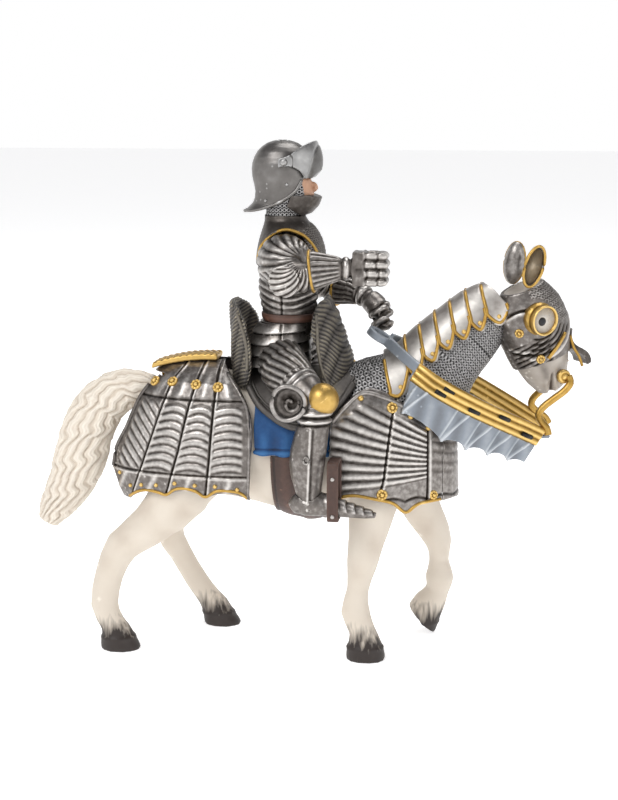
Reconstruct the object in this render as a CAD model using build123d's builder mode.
"""Painted toy figure of an armoured knight on an armoured walking horse, in millimetres.

+X is the way the horse walks, +Y is its left and +Z is up. The figure stands on z = 0.
Every loft runs through ellipses, and a station is (x, y, z, half width, half depth).
"""

import os
from math import cos, radians, sin

from build123d import *

# Driving dimensions.
PLATE = 1.0  # thickness of the horse's armour plates
THIN = 0.8  # thickness of the rider's plates
PLAY = 0.3  # gap between pieces that move past each other
BODY_HALF = 15.0  # half width of the horse's barrel
TURN, NOD = 30.0, 71.0  # the horse's head: turned to its left, and nodded down
POLL = Vector(56.5, 6.0, 98.0)  # top of the head's own axis
SHOULDER = Vector(-4.8, 12.0, 106.5)  # the rider's left shoulder; the right one is mirrored
PEG_RADIUS = 2.0
SOCKET_FLOOR = 3.0  # how far from the middle the sockets for the arm pegs stop
TORSO_HALF = 7.6  # half width of the rider's chest
ARM_START = 7.9  # the arms begin this far from the middle
ARM_BALL, ARCH_RADIUS = 7.2, 7.9  # shoulder ball, and the mantle's arch round it
VISOR_HALF = 7.7  # half width inside the visor
VISOR_PIVOT = Vector(-5.5, 0, 132.0)
VISOR_PIN = 0.6
GRIP_RADIUS = 1.6  # hole through the right fist, for a lance
REIN_SLOPE = 31.2  # degrees that the reins fall from the hand to the mouth
REACH = 60.0  # longer than the figure is wide

pieces = {}


def keep(builder, label):
    """Labels a finished piece and lists it for export."""
    builder.part.label = label
    pieces[label] = builder.part


def eased(rows):
    """Adds a row half way between each two, on a smooth curve through them all."""
    last = len(rows) - 1
    full = [rows[0]]
    for i in range(last):
        near_by = zip(rows[max(i - 1, 0)], rows[i], rows[i + 1], rows[min(i + 2, last)])
        full += [tuple((9 * (b + c) - a - d) / 16 for a, b, c, d in near_by), rows[i + 1]]
    return full


def oval(plane, half_x, half_y):
    """An ellipse in two halves, so that all the sections of a loft start on the same side."""
    with BuildSketch(plane) as section:
        with BuildLine():
            EllipticalCenterArc((0, 0), half_x, half_y, start_angle=0, arc_size=180)
            EllipticalCenterArc((0, 0), half_x, half_y, start_angle=180, arc_size=180)
        make_face()
    return section.sketch


def limb(*stations, last=None, grow=0.0, mode=Mode.ADD):
    """Lofts through ellipses that stand square to the line through their centres."""
    stations = eased(stations)
    points = [Vector(*s[:3]) for s in stations]
    end = len(points) - 1
    sections = []
    for i, station in enumerate(stations):
        ahead = points[min(i + 1, end)] - points[max(i - 1, 0)]
        if i >= end - 2 and last:
            ahead = Vector(*last)
        along = ahead.normalized()
        across = (Vector(0, 1, 0) - along * along.Y).normalized()
        plane = Plane(points[i], x_dir=across, z_dir=along)
        sections.append(oval(plane, station[3] + grow, station[4] + grow))
    loft(sections, ruled=True, mode=mode)


def tower(*levels, grow=0.0, mode=Mode.ADD):
    """Lofts through level ellipses. A level is (z, centre x, half length in x, half width in y)."""
    sections = []
    for z, x, half_x, half_y in eased(levels):
        sections.append(oval(Plane((x, 0, z)), half_x + grow, half_y + grow))
    loft(sections, ruled=True, mode=mode)


def mirrored(label):
    """Keeps the left twin of a right-hand piece."""
    with BuildPart() as twin:
        mirror(pieces[label.replace("left", "right")], about=Plane.XZ)
    keep(twin, label)


TRUNK = (  # x, centre z, half width, half height
    (-48, 61.5, 4.5, 6.5),
    (-45, 60.5, 8.5, 10.5),
    (-38, 59.5, 13, 15),
    (-28, 59, BODY_HALF, 17),
    (-14, 57.5, BODY_HALF, 17.5),
    (0, 55.5, BODY_HALF, 19.5),
    (12, 57, 14.5, 19),
    (24, 59, 13, 17),
    (33, 58, 10, 13),
    (38, 57, 5.5, 7),
)


def barrel(grow=0.0, mode=Mode.ADD):
    """The horse's trunk, from rump to chest, or the same shape grown by some millimetres."""
    sections = []
    for x, z, wide, high in eased(TRUNK):
        plane = Plane((x, 0, z), x_dir=(0, 1, 0), z_dir=(1, 0, 0))
        sections.append(oval(plane, wide + grow, high + grow))
    loft(sections, ruled=True, mode=mode)


def cut_away(*labels):
    """Takes earlier pieces out of the current part, so that the two meet face to face."""
    for label in labels:
        add(pieces[label], mode=Mode.SUBTRACT)


# ---- the horse: trunk, legs and tail -------------------------------------------------------
with BuildPart() as horse_body:
    barrel()
keep(horse_body, "horse_body")

LEGS = {
    "right_hind_leg": (
        (-30, -8.5, 54, 6, 9.5),
        (-34, -9.5, 43, 5.8, 8),
        (-42.5, -10.5, 34, 4.6, 5.6),
        (-49.8, -11, 28.3, 3.8, 4.6),
        (-53.4, -11.5, 20.5, 3.1, 3.9),
        (-54.8, -12, 12, 3.2, 3.8),
        (-52.5, -12.5, 6.8, 3.3, 3.4),
        (-51, -12.5, 3.2, 4.4, 4.8),
        (-50.3, -12.5, 0, 4.9, 5.6),
    ),
    "left_hind_leg": (
        (-28, 8.5, 54, 6, 9),
        (-32, 9.5, 44, 5.6, 7.5),
        (-38.5, 10.5, 35, 4.4, 5.4),
        (-41.8, 11, 27.5, 3.6, 4.2),
        (-38.5, 11.5, 20.5, 2.9, 3.2),
        (-34, 12, 12.5, 2.9, 3.2),
        (-30.5, 12.3, 7.5, 3.1, 3.3),
        (-27.8, 12.5, 3.2, 4.2, 4.6),
        (-26.6, 12.5, 0, 4.7, 5.4),
    ),
    "right_foreleg": (
        (20, -8.5, 49, 5, 7.5),
        (18.3, -9.5, 41, 4.6, 6.4),
        (17, -10.6, 32.5, 3.9, 4.9),
        (15.8, -11, 26, 3.6, 4.1),
        (14.8, -11.4, 19, 2.8, 2.9),
        (14.2, -11.8, 13, 3.2, 3.9),
        (16, -12, 8, 3.1, 3.5),
        (16.9, -12.2, 3.4, 4.4, 4.9),
        (17.1, -12.2, 0, 4.8, 5.4),
    ),
    "left_foreleg": (
        (26, 7.5, 47, 4.6, 6.5),
        (28.5, 9, 40, 4.4, 5.8),
        (32.5, 10.6, 32, 3.9, 4.7),
        (34.9, 11.2, 26.5, 3.5, 3.6),
        (35, 11.5, 21.5, 2.7, 2.7),
        (35.2, 11.8, 16.5, 3.2, 4),
        (34.6, 12, 12.6, 3, 3.2),
        (32.3, 12.2, 8, 4.2, 4.7),
        (30.3, 12.2, 3.9, 4.6, 5.4),
    ),
}
SOLE = {"left_foreleg": (-0.72, 0, -0.69)}  # the lifted hoof stands on its toe
for label, stations in LEGS.items():
    with BuildPart() as leg:
        limb(*stations, last=SOLE.get(label, (0, 0, -1)))
        cut_away("horse_body")
    keep(leg, label)

with BuildPart() as tail:
    limb(
        (-43, 0, 70, 4, 3.5),
        (-50, 0, 70, 5, 5.2),
        (-57, 0, 66, 5.5, 6.3),
        (-61.5, 0, 58.5, 5.5, 7),
        (-64, 0, 50, 5.2, 7),
        (-67, 0, 42.5, 4.6, 6),
        (-71, 0, 36.5, 3.6, 4.6),
        (-73.7, 0, 31.8, 2, 2.6),
    )
    cut_away("horse_body")
keep(tail, "tail")

# ---- the crupper: two halves of rump armour, their ridge and their gilt studs ---------------
CRUPPER = (
    (39, -22, 29, 18.2),
    (50, -22, 33.5, 18.2),
    (60, -22, 30, 17.7),
    (68, -22, 26.5, 16),
    (74, -22, 22, 12.5),
    (77.5, -22, 17, 7.5),
    (79, -22, 11, 2.5),
)
with BuildPart() as crupper_right:
    tower(*CRUPPER)
    tower(*CRUPPER, grow=-PLATE, mode=Mode.SUBTRACT)
    with BuildSketch(Plane.XZ):
        with BuildLine():
            front = Spline((-13.3, 43.7), (-13, 56.5), (-13.6, 67.2), (-16.1, 72.1), (-22.2, 78.6))
            Polyline(front @ 1, (-22.2, 82), (-60, 82), (-60, 41.5), (-47.5, 41.5))
            ThreePointArc((-47.5, 41.5), (-41.7, 44.6), (-36.1, 44))
            ThreePointArc((-36.1, 44), (-30.6, 45.9), (-25.1, 44.1))
            ThreePointArc((-25.1, 44.1), (-19, 45.7), (-13.3, 43.7))
        make_face()
    extrude(amount=REACH, mode=Mode.INTERSECT)
    # the gap that the tail comes out of
    with BuildSketch(Plane.XY.offset(30)):
        with Locations((-60, 0)):
            Rectangle(44, 13)
    extrude(amount=45.5, mode=Mode.SUBTRACT)
    cut_away("tail")
keep(crupper_right, "crupper_right")
mirrored("crupper_left")

with BuildPart() as crupper_ridge:
    with BuildSketch(Plane.XZ):
        with BuildLine():
            low = ThreePointArc((-42.4, 76.4), (-33, 78.6), (-24.4, 79))
            high = ThreePointArc((-42, 77.9), (-33, 80.1), (-24.4, 80.5))
            Line(low @ 0, high @ 0)
            Line(low @ 1, high @ 1)
        make_face()
    extrude(amount=4, both=True)
    cut_away("crupper_right", "crupper_left", "horse_body")
keep(crupper_ridge, "crupper_ridge")


def studs(host, places, radius, height):
    """Adds round-headed studs on a right-hand plate, each at the (x, z) place of its side view."""
    for x, z in places:
        hits = pieces[host].find_intersection_points(Axis((x, -REACH, z), (0, 1, 0)))
        point, normal = min(hits, key=lambda hit: hit[0].Y)
        if normal.Y > 0:
            normal = -normal
        base = Plane(point - normal * 0.3, z_dir=normal)
        with Locations(base.location):
            Cylinder(radius, height + 0.3, align=(Align.CENTER, Align.CENTER, Align.MIN))


with BuildPart() as crupper_studs:
    studs("crupper_right", ((-40.7, 73.5), (-35.3, 74), (-28.5, 73.7), (-22.4, 73.3)), 1.5, 0.6)
    studs(
        "crupper_right",
        (
            (-50.4, 48.5), (-47, 45.5), (-43.5, 46.3), (-39, 46.8),
            (-33.6, 47.6), (-28, 47.4), (-22.5, 47.3), (-16.6, 46.4),
        ),
        0.6,
        0.5,
    )
    mirror(about=Plane.XZ)
    cut_away("crupper_right", "crupper_left")
keep(crupper_studs, "crupper_studs")

# ---- the peytral: chest armour in a right, a left and a front plate -------------------------
PEYTRAL = (
    (39, 12, 29, 18.1),
    (48, 12, 28.5, 18),
    (57, 12, 28.2, 17.9),
    (64, 12, 26.8, 17.2),
    (70, 12, 24, 15.4),
    (75, 12, 20, 12.4),
)
FRONT_SPLIT = 36.8  # x where the side plates hand over to the front plate


def peytral_shell():
    """The whole chest armour, before it is divided."""
    tower(*PEYTRAL)
    tower(*PEYTRAL, grow=-PLATE, mode=Mode.SUBTRACT)
    cut_away("horse_body")


with BuildPart() as peytral_right:
    peytral_shell()
    with BuildSketch(Plane.XZ):
        with BuildLine():
            top = Spline((8, 66), (11.7, 70.1), (16, 73.6), (25.9, 70.5), (FRONT_SPLIT, 62.9))
            Line(top @ 1, (FRONT_SPLIT, 43.5))
            ThreePointArc((FRONT_SPLIT, 43.5), (32.5, 43.9), (27.7, 40.9))
            ThreePointArc((27.7, 40.9), (24.5, 43.6), (20.6, 44.7))
            ThreePointArc((20.6, 44.7), (14, 45.8), (8, 44.3))
            Line((8, 44.3), top @ 0)
        make_face()
    extrude(amount=REACH, mode=Mode.INTERSECT)
keep(peytral_right, "peytral_right")
mirrored("peytral_left")

with BuildPart() as peytral_front:
    peytral_shell()
    with BuildSketch(Plane.XZ):
        with BuildLine():
            Polyline((FRONT_SPLIT, 43.5), (FRONT_SPLIT, 62.9), (45, 61), (45, 40))
            ThreePointArc((45, 40), (40.4, 43.4), (FRONT_SPLIT, 43.5))
        make_face()
    extrude(amount=REACH, both=True, mode=Mode.INTERSECT)
keep(peytral_front, "peytral_front")

with BuildPart() as peytral_clasps:
    studs("peytral_right", ((23.8, 69.2), (21.6, 46.6)), 1.5, 0.7)
    studs("peytral_right", ((15.6, 71.6), (19.4, 71.2), (28.5, 66.8), (33, 63.6), (34.6, 45.6)), 0.8, 0.6)
    mirror(about=Plane.XZ)
    cut_away("peytral_right", "peytral_left")
keep(peytral_clasps, "peytral_clasps")

# ---- the neck: a mail cover, and the crinet's plates over its crest -------------------------
NECK = (
    (14, 0, 61.5, 13.8, 16.5),
    (24, 0, 67.3, 12.4, 15.2),
    (31.3, 0.3, 73.8, 9.2, 12),
    (36.3, 1.5, 80.5, 7.6, 10.3),
    (41.7, 3.2, 86, 6.7, 9.2),
    (46.5, 5, 91.4, 6, 7.8),
    (50.5, 6.3, 95.4, 4.8, 5.4),
)
with BuildPart() as neck_mail:
    limb(*NECK)
    cut_away("horse_body", "peytral_right", "peytral_left", "peytral_front")
    cut_away("right_foreleg", "left_foreleg")
    # the mail ends where the peytral's plates cover it
    with BuildSketch(Plane.XZ):
        with BuildLine():
            Polyline((4, 70), (12, 69), (36, 57), (60, 57), (60, 110), (4, 110), close=True)
        make_face()
    extrude(amount=REACH, both=True, mode=Mode.INTERSECT)
keep(neck_mail, "neck_mail")

CREST = (
    (20.6, 80.2),
    (25.2, 86.3),
    (28.9, 89.9),
    (32.8, 93.2),
    (36.7, 96),
    (40.9, 98.3),
    (44.9, 100.3),
    (50.6, 101.4),
)
TONGUE = Vector(3.4, -11.2)  # how far each plate's tongue hangs, in the side view
LAME_GAP = 0.12
with BuildPart() as crinet_skin:
    limb(*NECK[1:], grow=1.1)
    limb(*NECK[1:], mode=Mode.SUBTRACT)
for i, (low, high) in enumerate(zip(CREST[:-1], CREST[1:]), start=1):
    near, far = Vector(*low), Vector(*high)
    along = (far - near).normalized() * LAME_GAP
    near, far = near + along, far - along
    rise = TONGUE * -0.35
    with BuildPart() as lame:
        add(crinet_skin.part)
        with BuildSketch(Plane.XZ):
            with BuildLine():
                Polyline(near + TONGUE * 0.72, near + rise, far + rise, far + TONGUE * 0.72)
                Spline(far + TONGUE * 0.72, (near + far) / 2 + TONGUE, near + TONGUE * 0.72)
            make_face()
        extrude(amount=REACH, both=True, mode=Mode.INTERSECT)
        cut_away("neck_mail")
    keep(lame, f"crinet_lame_{i}")

# ---- the horse's head, in its own turned and nodded frame -----------------------------------
TURNED = Vector(cos(radians(TURN)), sin(radians(TURN)), 0)
FORWARD = TURNED * cos(radians(NOD)) - Vector(0, 0, sin(radians(NOD)))
LEFT = Vector(-sin(radians(TURN)), cos(radians(TURN)), 0)
BROW = LEFT.cross(FORWARD) * -1  # square to the face, out of the forehead


def head_point(down, left=0.0, out=0.0):
    """A point so far down the head's axis, to its left and out towards the forehead."""
    return POLL + FORWARD * down + LEFT * left + BROW * out


HEAD = (
    (-1, 4.2, 5.2),
    (4, 6, 8.2),
    (10, 6.6, 9.2),
    (16, 5.9, 8.6),
    (21, 4.9, 7.4),
    (25, 4.4, 5.8),
    (28.5, 3.2, 3.6),
)


def head_loft(grow=0.0, mode=Mode.ADD):
    """The head's shape, or the same grown by some millimetres."""
    sections = []
    for down, wide, deep in eased(HEAD):
        plane = Plane(head_point(down), x_dir=LEFT, z_dir=FORWARD)
        sections.append(oval(plane, wide + grow, deep + grow))
    loft(sections, ruled=True, mode=mode)


with BuildPart() as horse_head:
    head_loft()
    cut_away("neck_mail", "crinet_lame_7", "crinet_lame_6")
keep(horse_head, "horse_head")

with BuildPart() as chanfron:
    head_loft(grow=0.9)
    head_loft(mode=Mode.SUBTRACT)
    with BuildSketch(Plane(head_point(-3), x_dir=LEFT, z_dir=FORWARD)):
        Rectangle(REACH, REACH)
    extrude(amount=22.5, mode=Mode.INTERSECT)
    cut_away("neck_mail", "crinet_lame_7", "crinet_lame_6", "crinet_lame_5")
keep(chanfron, "chanfron")

with BuildPart() as nasal_plate:
    with BuildSketch(Plane(POLL, x_dir=FORWARD, z_dir=LEFT * -1)) :
        with BuildLine():
            Spline((14, 9.4), (19, 9.2), (22, 11.6), (25.2, 11.8))
            Line((25.2, 11.8), (25.4, 10.6))
            Spline((25.4, 10.6), (22.6, 10.2), (19.4, 7.4), (14, 7.6))
            Line((14, 7.6), (14, 9.4))
        make_face()
    extrude(amount=4, both=True)
    cut_away("horse_head", "chanfron")
keep(nasal_plate, "nasal_plate")

for side, name, lean in ((-1, "right", 3.2), (1, "left", 1.2)):
    outwards = (LEFT * side + FORWARD * 0.12 + BROW * 0.1).normalized()
    socket = head_point(6.6, side * 6.3, -1.2)
    with BuildPart() as eye_guard:
        with BuildSketch(Plane(socket, x_dir=FORWARD, z_dir=outwards)):
            Circle(4.4)
        extrude(amount=3.6, taper=-18)
        with BuildSketch(Plane(socket + outwards * 1.2, x_dir=FORWARD, z_dir=outwards)):
            Circle(3.5)
        extrude(amount=4, taper=-20, mode=Mode.SUBTRACT)
        cut_away("chanfron", "horse_head", "neck_mail", "crinet_lame_7", "crinet_lame_6")
    keep(eye_guard, f"eye_guard_{name}")
    with BuildPart() as ear:
        foot = head_point(-1.5, side * 4.4, -1)
        tip = foot + Vector(lean, 0, 10.5) - LEFT * (0.6 * side)
        middle = foot + (tip - foot) * 0.55
        low = foot + (tip - foot) * 0.2
        limb(
            (foot.X, foot.Y, foot.Z, 2.2, 2.4),
            (low.X, low.Y, low.Z, 2.6, 2.9),
            (middle.X, middle.Y, middle.Z, 2.7, 3.6),
            (tip.X, tip.Y, tip.Z, 1, 1.4),
        )
        cut_away("chanfron", "horse_head", "neck_mail")
        cut_away("crinet_lame_7", "crinet_lame_6", f"eye_guard_{name}")
    keep(ear, f"ear_{name}")

# ---- saddle, blanket and girth -------------------------------------------------------------
BLANKET_GROW, SADDLE_GROW, GIRTH_GROW = 1.0, 2.2, 0.7


def over_the_back(grow, inner):
    """A skin on the horse's trunk between two offsets."""
    barrel(grow)
    barrel(inner, mode=Mode.SUBTRACT)


with BuildPart() as saddle_blanket:
    over_the_back(BLANKET_GROW, 0)
    with BuildSketch(Plane.XZ):
        with BuildLine():
            Polyline((-12.6, 56), (-12.6, 80), (7.4, 80), (7.4, 56.4))
            ThreePointArc((7.4, 56.4), (-2, 55.7), (-12.6, 56))
        make_face()
    extrude(amount=REACH, both=True, mode=Mode.INTERSECT)
    cut_away("neck_mail")
keep(saddle_blanket, "saddle_blanket")

with BuildPart() as girth_strap:
    over_the_back(GIRTH_GROW, 0)
    with BuildSketch(Plane.XZ):
        with Locations((-1.5, 45)):
            Rectangle(13.4, 24)
    extrude(amount=REACH, both=True, mode=Mode.INTERSECT)
    cut_away("saddle_blanket")
keep(girth_strap, "girth_strap")

with BuildPart() as saddle_seat:
    over_the_back(SADDLE_GROW, BLANKET_GROW)
    with BuildSketch(Plane.XZ):
        with BuildLine():
            Polyline((-15.2, 73), (-20, 77), (-20, 84), (14.5, 84), (14.5, 76), (11.4, 70))
            Spline((11.4, 70), (6, 64.5), (-1.3, 62.8), (-9, 66.8), (-15.2, 73))
        make_face()
    extrude(amount=REACH, both=True, mode=Mode.INTERSECT)
    cut_away("crupper_right", "crupper_left", "peytral_right", "peytral_left", "neck_mail", "horse_body")
keep(saddle_seat, "saddle_seat")


def wing(levels, outline, wall=1.6):
    """A curved shield that stands on the saddle: a shell of ellipses, cut to a side view."""
    tower(*levels)
    tower(*levels, grow=-wall, mode=Mode.SUBTRACT)
    with BuildSketch(Plane.XZ) as side_view:
        with BuildLine():
            Spline(*outline, periodic=True)
        make_face()
    extrude(side_view.sketch, amount=REACH, both=True, mode=Mode.INTERSECT)
    cut_away("saddle_seat", "saddle_blanket", "horse_body", "neck_mail")


with BuildPart() as saddle_cantle:
    wing(
        ((68, -8.5, 12, 13.6), (80, -9, 12, 12.6), (96, -9.5, 12, 11.6)),
        ((-22.5, 77), (-22.4, 88), (-20.6, 95.2), (-17.6, 93), (-14.4, 85), (-14.2, 76), (-17, 72.5)),
    )
    cut_away("crupper_right", "crupper_left")
keep(saddle_cantle, "saddle_cantle")

with BuildPart() as saddle_pommel:
    wing(
        ((66, -2.5, 15.6, 14.4), (80, -4, 16.2, 13.2), (97, -6, 12, 12.4)),
        ((2.6, 93.5), (4.2, 96), (8.5, 91), (13.5, 82), (12.5, 74), (7.5, 70.5), (5, 76), (3, 85)),
        wall=1.5,
    )
    cut_away("peytral_right", "peytral_left")
    add(saddle_pommel.solids().sort_by(SortBy.VOLUME)[-1], mode=Mode.REPLACE)
keep(saddle_pommel, "saddle_pommel")

# ---- reins: one stiff U, hung from the bit, with a ring for the rider's hand -----------------
REIN_X = Vector(cos(radians(REIN_SLOPE)), 0, -sin(radians(REIN_SLOPE)))
REIN_Z = Vector(sin(radians(REIN_SLOPE)), 0, cos(radians(REIN_SLOPE)))
REIN_ORIGIN = Vector(29.1, 0, 78.9)
REIN_PLANE = Plane(REIN_ORIGIN, x_dir=REIN_X, z_dir=REIN_Z)
REIN_HEIGHT, REIN_THICK = 5.2, 1.5


def rein_band(side, level, height, thick):
    """Adds one side of the reins, from the ring to the bit, as a band of the given height and thickness."""
    spread = (3.2, 8, 12.4, 14.2, 11.4, 5, -3.2) if side < 0 else (3.2, 8, 12.4, 15.6, 18.2, 19.4, 19.5)
    line = [Vector(x, side * y) for x, y in zip((-9.5, -5, 1, 8, 17, 27, 38.5), spread)]
    faces = []
    for here, ahead in zip(line, line[1:] + [line[-1] * 2 - line[-2]]):
        square = (ahead - here).normalized().rotate(Axis.Z, 90) * (thick / 2)
        faces.append((here + square, here - square))
    with BuildSketch(REIN_PLANE.offset(level)) as band:
        with BuildLine():
            Spline([pair[0] for pair in faces])
            Spline([pair[1] for pair in faces])
            Line(faces[0])
            Line(faces[-1])
        make_face()
    extrude(band.sketch, amount=height)


with BuildPart() as rein_strap:
    for side in (-1, 1):
        rein_band(side, -REIN_HEIGHT / 2, REIN_HEIGHT, REIN_THICK)
    # behind the bands only a slim bar goes on to the ring
    with BuildSketch(REIN_PLANE.offset(-REACH / 2)):
        with Locations((-30, 0)):
            Rectangle(60, REACH)
    extrude(amount=REACH / 2 - 0.2, mode=Mode.SUBTRACT)
    with BuildSketch(REIN_PLANE.offset(-0.2)):
        with Locations((-12.2, 0)):
            SlotOverall(8, 7.2, rotation=90)
            SlotOverall(5.4, 4.4, rotation=90, mode=Mode.SUBTRACT)
    extrude(amount=2)
    cut_away("neck_mail", "crinet_lame_1", "crinet_lame_2")
keep(rein_strap, "rein_strap")

with BuildPart() as rein_wings:
    for side in (-1, 1):
        rein_band(side, -17, 17 - REIN_HEIGHT / 2, THIN)
    with BuildSketch(Plane.XZ):
        with BuildLine():
            Polyline((26.3, 68), (28.6, 78), (64, 60), (59.6, 49.8))
            cusps = [(59.6, 49.8), (53.7, 52.9), (48.4, 55.2), (42.9, 57.4), (36.6, 60.4), (26.3, 68)]
            for start, stop in zip(cusps[:-1], cusps[1:]):
                middle = (Vector(*start) + Vector(*stop)) / 2 + Vector(0.5, 1.1)
                ThreePointArc(start, middle, stop)
        make_face()
    extrude(amount=REACH, both=True, mode=Mode.INTERSECT)
    cut_away("rein_strap")
keep(rein_wings, "rein_wings")

with BuildPart() as bit_cheeks:
    for side in (-1, 1):
        mouth = head_point(25, side * 5.6, 2)
        joint = REIN_PLANE.from_local_coords(Vector(38.5, 3.2 if side < 0 else 19.5, 0))
        step = (joint - mouth) / 4
        ahead = Vector(1.9, 0, 0.4)
        with BuildLine() as cheek:
            Spline(
                mouth,
                mouth + step + ahead,
                mouth + step * 2 - ahead * 0.3,
                mouth + step * 3 + ahead,
                joint,
            )
        with BuildSketch(Plane(mouth, z_dir=cheek.line % 0)):
            Circle(1.1)
        sweep(path=cheek.line)
        with Locations(Plane(head_point(25, side * 4.6, 2), z_dir=LEFT * side).location):
            Cylinder(0.9, 2.2, align=(Align.CENTER, Align.CENTER, Align.MIN))
    cut_away("rein_strap", "rein_wings")
keep(bit_cheeks, "bit_cheeks")

# ---- the rider: trunk ----------------------------------------------------------------------
with BuildPart() as torso:
    tower(
        (79.5, -7.8, 6.3, 7.4),
        (84, -6.6, 6.2, 7.2),
        (88, -5, 6.5, 7),
        (93, -5.3, 7.3, 7.4),
        (99, -5.5, 8, TORSO_HALF),
        (105, -5.2, 7.6, TORSO_HALF),
        (110, -4.8, 6.6, 7.2),
        (114, -5, 5.2, 5.8),
        (117.5, -5.8, 4, 4.2),
    )
    barrel(SADDLE_GROW + PLAY, mode=Mode.SUBTRACT)
    # sockets for the arms' pegs
    with BuildSketch(Plane.XZ):
        with Locations((SHOULDER.X, SHOULDER.Z)):
            Circle(PEG_RADIUS + PLAY)
    extrude(amount=REACH, both=True, mode=Mode.SUBTRACT)
    with BuildSketch(Plane.XZ):
        with Locations((SHOULDER.X, SHOULDER.Z)):
            Circle(PEG_RADIUS + PLAY + 0.5)
    extrude(amount=SOCKET_FLOOR, both=True)
keep(torso, "torso")

with BuildPart() as belt:
    tower((89.9, -5, 7.3, 7.9), (92.1, -5.1, 7.7, 8.1))
    with Locations(Pos(2.6, -2.5, 91)):
        Box(1.6, 4, 3)
    cut_away("torso")
keep(belt, "belt")

with BuildPart() as fauld:
    tower((78, -8.3, 8.8, 11), (83, -8, 8.3, 10.2), (87, -7.1, 7.8, 9), (89.8, -5.7, 7.3, 8))
    barrel(SADDLE_GROW + PLAY, mode=Mode.SUBTRACT)
    cut_away("torso")
keep(fauld, "fauld")

# ---- the rider: neck, head, helmet and visor -----------------------------------------------
HELMET = (
    (118.4, -8.2, 9.6, 7.4),
    (121, -7.4, 7.5, 6.8),
    (124, -6.9, 7.4, 6.7),
    (128, -6.8, 8.3, 7),
    (131.5, -6.9, 8.1, 6.9),
    (134.5, -7, 6.6, 5.7),
    (136.6, -7, 4, 3.5),
    (137.4, -7, 1.2, 1),
)
with BuildPart() as helmet:
    tower(*HELMET)
    tower(*HELMET, grow=-THIN, mode=Mode.SUBTRACT)
    with BuildSketch(Plane.XZ):
        with BuildLine():
            brow = Spline(
                (-18.2, 118.5), (-14, 118.9), (-7.4, 120.9), (-3.2, 123.6), (-0.9, 127.4), (2.2, 128.6)
            )
            Polyline(brow @ 1, (3, 140), (-20, 140), brow @ 0)
        make_face()
    extrude(amount=REACH, both=True, mode=Mode.INTERSECT)
    with Locations(Plane((VISOR_PIVOT.X, 0, VISOR_PIVOT.Z), z_dir=(0, 1, 0)).location):
        Cylinder(VISOR_PIN, 2 * (VISOR_HALF + 0.9))
    tower(*HELMET[1:], grow=-THIN, mode=Mode.SUBTRACT)
keep(helmet, "helmet")

with BuildPart() as visor:
    # two half ellipses turned about the pins: the outer one has the beak's reach
    for half_width, radius, mode in (
        (VISOR_HALF + 0.7, 9.2, Mode.ADD),
        (VISOR_HALF, 7.95, Mode.SUBTRACT),
    ):
        with BuildSketch(Plane.XY.offset(VISOR_PIVOT.Z)):
            with Locations((VISOR_PIVOT.X, 0)):
                Ellipse(radius, half_width)
                with Locations((-REACH / 2, 0)):
                    Rectangle(REACH, REACH, mode=Mode.SUBTRACT)
        revolve(axis=Axis(VISOR_PIVOT, (0, 1, 0)), mode=mode)
    with BuildSketch(Plane.XZ):
        with BuildLine():
            Spline((-7, 133), (-3, 134.6), (1.2, 137.2), (5, 136))
            Polyline((5, 136), (5.2, 131.5), (1.2, 127.6), (-0.6, 127.7))
            Spline((-0.6, 127.7), (-1.4, 129.6), (-3.2, 130.7), (-7, 130.6))
            Line((-7, 130.6), (-7, 133))
        make_face()
    extrude(amount=REACH, both=True, mode=Mode.INTERSECT)
    with BuildSketch(Plane.XZ):
        with Locations((VISOR_PIVOT.X, VISOR_PIVOT.Z)):
            Circle(VISOR_PIN + PLAY)
    extrude(amount=REACH, both=True, mode=Mode.SUBTRACT)
keep(visor, "visor")

with BuildPart() as face:
    tower(
        (118.5, -5, 3.4, 3.4),
        (121, -4.2, 4.6, 4.3),
        (124, -3.9, 5.1, 4.9),
        (128, -4.2, 4.5, 5),
        (131, -4.7, 4.2, 4.6),
        (133, -5, 2.8, 2.8),
    )
    limb(
        (0.7, 0, 126.2, 0.6, 0.5),
        (1.4, 0, 125.8, 0.8, 0.7),
        (1.9, 0, 124.9, 1, 0.6),
        (1.2, 0, 124.3, 0.7, 0.5),
    )
    cut_away("helmet", "torso")
keep(face, "face")

with BuildPart() as coif:
    tower(
        (116.6, -6.3, 5.1, 5.1),
        (118.4, -6.5, 4.8, 4.9),
        (121, -5.2, 6, 5.4),
        (124, -4.8, 6.2, 5.6),
        (126.5, -5, 5.9, 5.6),
    )
    with BuildSketch(Plane.XZ):
        with BuildLine():
            Polyline((-14, 115), (2, 115), (3, 121.4), (-0.4, 122.4), (-1.6, 128), (-14, 128), close=True)
        make_face()
    extrude(amount=REACH, both=True, mode=Mode.INTERSECT)
    cut_away("face", "helmet", "torso")
keep(coif, "coif")

with BuildPart() as bevor:
    tower((117.6, -4.6, 4.4, 4.8), (120.4, -3.7, 6.4, 6.1), (123.8, -3, 6.8, 6.4))
    with BuildSketch(Plane.XZ):
        with BuildLine():
            Polyline(
                (-5.2, 120.4), (-4, 123.2), (0.3, 123.4), (4, 122.6), (1.6, 118.6), (-1.4, 117.8), close=True
            )
        make_face()
    extrude(amount=REACH, both=True, mode=Mode.INTERSECT)
    cut_away("coif", "face", "helmet", "torso")
keep(bevor, "bevor")

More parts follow.
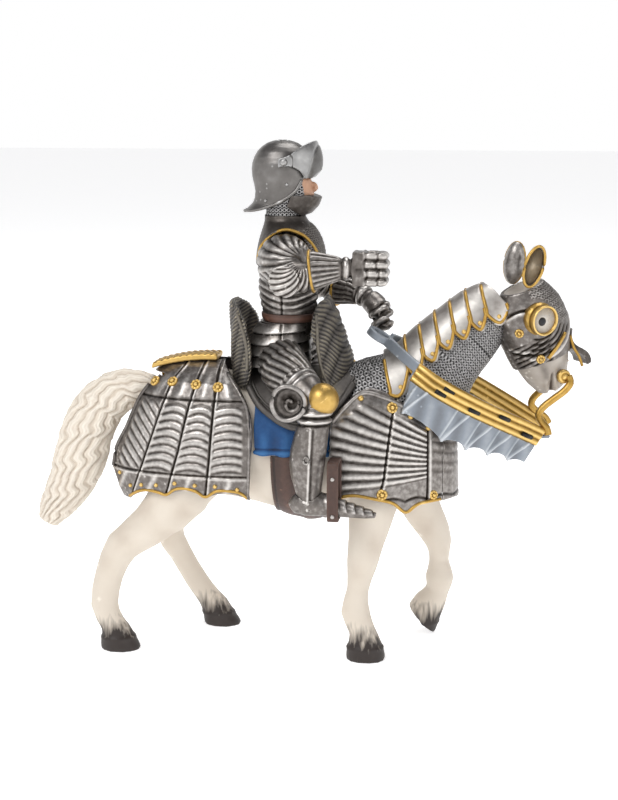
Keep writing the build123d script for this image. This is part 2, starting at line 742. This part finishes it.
# ---- the rider: mail mantle, arched over the shoulders --------------------------------------
MANTLE = (
    (104.5, -4.9, 9.3, 10.5),
    (108, -4.8, 9.1, 12),
    (111.5, -4.9, 8.3, 11.6),
    (114.5, -5.3, 7, 8.8),
    (116.4, -6, 5.8, 6),
    (118, -6.4, 5.4, 5.4),
)
with BuildPart() as mantle:
    tower(*MANTLE)
    tower(*MANTLE, grow=-1.1, mode=Mode.SUBTRACT)
    with BuildSketch(Plane.XZ):
        with BuildLine():
            Polyline(
                (-16, 106), (-12.8, 104.6), (-5, 107), (3.4, 106), (6, 108), (6, 119), (-16, 119), close=True
            )
        make_face()
    extrude(amount=REACH, both=True, mode=Mode.INTERSECT)
    for side in (-1, 1):
        with BuildSketch(Plane.XZ.offset(-side * ARM_START)) as arch:
            with Locations((SHOULDER.X, SHOULDER.Z)):
                Circle(ARCH_RADIUS)
                with Locations((0, -10)):
                    Rectangle(2 * ARCH_RADIUS, 20)
        extrude(amount=-side * REACH, mode=Mode.SUBTRACT)
    cut_away("torso", "coif", "bevor")
keep(mantle, "mantle")

# ---- the rider: legs ------------------------------------------------------------------------
with BuildPart() as right_cuisse:
    limb(
        (-7.2, -6, 80.4, 5.6, 6.4),
        (-5, -11.5, 78.6, 5.8, 6.6),
        (-1, -17, 75.4, 5.2, 5.8),
        (3.2, -21, 72.8, 4.4, 4.6),
        (5.8, -22.6, 71, 3.8, 3.8),
    )
    barrel(SADDLE_GROW + PLAY, mode=Mode.SUBTRACT)
    cut_away("torso", "fauld")
keep(right_cuisse, "right_cuisse")

with BuildPart() as right_greave:
    limb(
        (5.2, -22.6, 71, 3.6, 3.8),
        (4.4, -22.6, 66, 3.9, 4.1),
        (2.9, -22.5, 58.5, 4.1, 4.7),
        (2.6, -22.4, 53, 3.7, 4.3),
        (3.2, -22.3, 46.5, 2.9, 3),
        (3.2, -22.3, 43.5, 2.7, 2.9),
    )
    cut_away("right_cuisse")
keep(right_greave, "right_greave")

with BuildPart() as right_knee_cop:
    with Locations(Pos(6.4, -23, 71.6)):
        Sphere(4.2)
    with BuildSketch(Plane((-1.6, -27.2, 70.2), x_dir=(1, 0, 0), z_dir=(0, 1, 0))) as wing_outline:
        Ellipse(4.6, 5.8)
    extrude(amount=1.1)
    limb((-0.5, -26.6, 70.4, 1.2, 1.2), (3, -25, 71, 1.6, 1.6))
    cut_away("right_cuisse", "right_greave")
keep(right_knee_cop, "right_knee_cop")

with BuildPart() as right_sabaton:
    limb(
        (-1.4, -22.3, 43.8, 1.8, 1.7),
        (1.5, -22.3, 45.2, 3, 3.4),
        (6.5, -22.3, 44.9, 3.1, 3.1),
        (12.5, -22.3, 43.8, 2.8, 2.1),
        (18, -22.4, 42.9, 1.9, 1.3),
        (20.6, -22.5, 42.5, 0.8, 0.7),
    )
    cut_away("right_greave")
keep(right_sabaton, "right_sabaton")

with BuildPart() as right_stirrup:
    with BuildSketch(Plane((8.2, -22.3, 48.9), x_dir=(0, 1, 0), z_dir=(1, 0, 0))):
        RectangleRounded(7.8, 16, 1.4)
        RectangleRounded(6.2, 14.4, 0.9, mode=Mode.SUBTRACT)
    extrude(amount=3)
    cut_away("right_sabaton", "right_greave")
keep(right_stirrup, "right_stirrup")

for label in ("left_cuisse", "left_greave", "left_knee_cop", "left_sabaton", "left_stirrup"):
    mirrored(label)

# ---- the rider: arms -------------------------------------------------------------------------


def shoulder(side):
    """The ball of a shoulder, flat towards the trunk, and its peg."""
    with Locations(Pos(SHOULDER.X, side * (ARM_START + 3.4), SHOULDER.Z)):
        Sphere(ARM_BALL)
    with Locations(Pos(SHOULDER.X, side * (ARM_START + 6), SHOULDER.Z)):
        Sphere(ARM_BALL - 0.9)


def flat_with_peg(side):
    """Cuts the shoulder flat beside the trunk, then adds the peg that turns in its socket."""
    with Locations(Pos(SHOULDER.X, side * (ARM_START + PLAY - REACH / 2), SHOULDER.Z)):
        Box(REACH, REACH, REACH, mode=Mode.SUBTRACT)
    peg_end = (SHOULDER.X, side * (SOCKET_FLOOR + PLAY), SHOULDER.Z)
    with BuildSketch(Plane(peg_end, z_dir=(0, side, 0))) as peg:
        Circle(PEG_RADIUS)
    extrude(peg.sketch, amount=ARM_START - SOCKET_FLOOR + 1)


with BuildPart() as right_upper_arm:
    shoulder(-1)
    limb(
        (-4.8, -13, 106.6, 5.6, 5.6),
        (-4.2, -17, 105.2, 4.8, 5),
        (-2.6, -19.6, 103.6, 4, 4.6),
        (1.5, -20, 103.8, 3.4, 3.8),
        (4.5, -20, 104.6, 3.1, 3.3),
    )
    with BuildSketch(Plane((-3, -24.8, 103.2), x_dir=(1, 0, 0), z_dir=(0, 1, 0))) as elbow_disc:
        Ellipse(3.8, 4.2)
    extrude(amount=1.6)
    flat_with_peg(-1)
keep(right_upper_arm, "right_upper_arm")

with BuildPart() as right_gauntlet:
    limb(
        (2.9, -20, 105.2, 4.2, 5.3),
        (6, -19.9, 105.6, 3.6, 4.4),
        (10.8, -19.4, 106, 2.6, 2.9),
        (13.5, -19, 106, 2.5, 2.6),
    )
    with Locations(Pos(18.3, -18.2, 106)):
        Box(9, 6.4, 9.2)
    fillet(right_gauntlet.edges().filter_by(Axis.Y).group_by(Axis.X)[-1], 2.2)
    with Locations(Pos(19, -18.2, 106)):
        Cylinder(GRIP_RADIUS, 12, mode=Mode.SUBTRACT)
    cut_away("right_upper_arm")
keep(right_gauntlet, "right_gauntlet")

with BuildPart() as left_upper_arm:
    shoulder(1)
    limb(
        (-4.8, 13, 106.4, 5.6, 5.6),
        (-4, 16.4, 104, 4.8, 5),
        (-1.6, 18.2, 100, 4, 4.6),
        (2, 18.4, 97.2, 3.7, 4),
        (6, 17.6, 96.2, 3.2, 3.4),
    )
    with BuildSketch(Plane((1, 22.6, 97.6), x_dir=(1, 0, 0), z_dir=(0, -1, 0))) as elbow_disc:
        Ellipse(3.6, 3.8)
    extrude(amount=1.6)
    flat_with_peg(1)
keep(left_upper_arm, "left_upper_arm")

with BuildPart() as left_gauntlet:
    limb(
        (5.4, 17.6, 96.6, 4, 4.9),
        (9.5, 15.6, 96, 3.4, 3.9),
        (13.6, 12.8, 94.8, 2.6, 2.7),
        (16, 11, 93.4, 2.6, 2.6),
    )
    limb(
        (15, 11.6, 94.2, 2.8, 3),
        (18, 9.6, 91.6, 3.4, 3.3),
        (19, 7.6, 88.6, 3, 3.2),
        (19, 6.4, 86.8, 2, 2.4),
    )
    cut_away("left_upper_arm")
keep(left_gauntlet, "left_gauntlet")


os.makedirs("parts", exist_ok=True)
for label, piece in pieces.items():
    export_step(piece, f"parts/{label}.step")
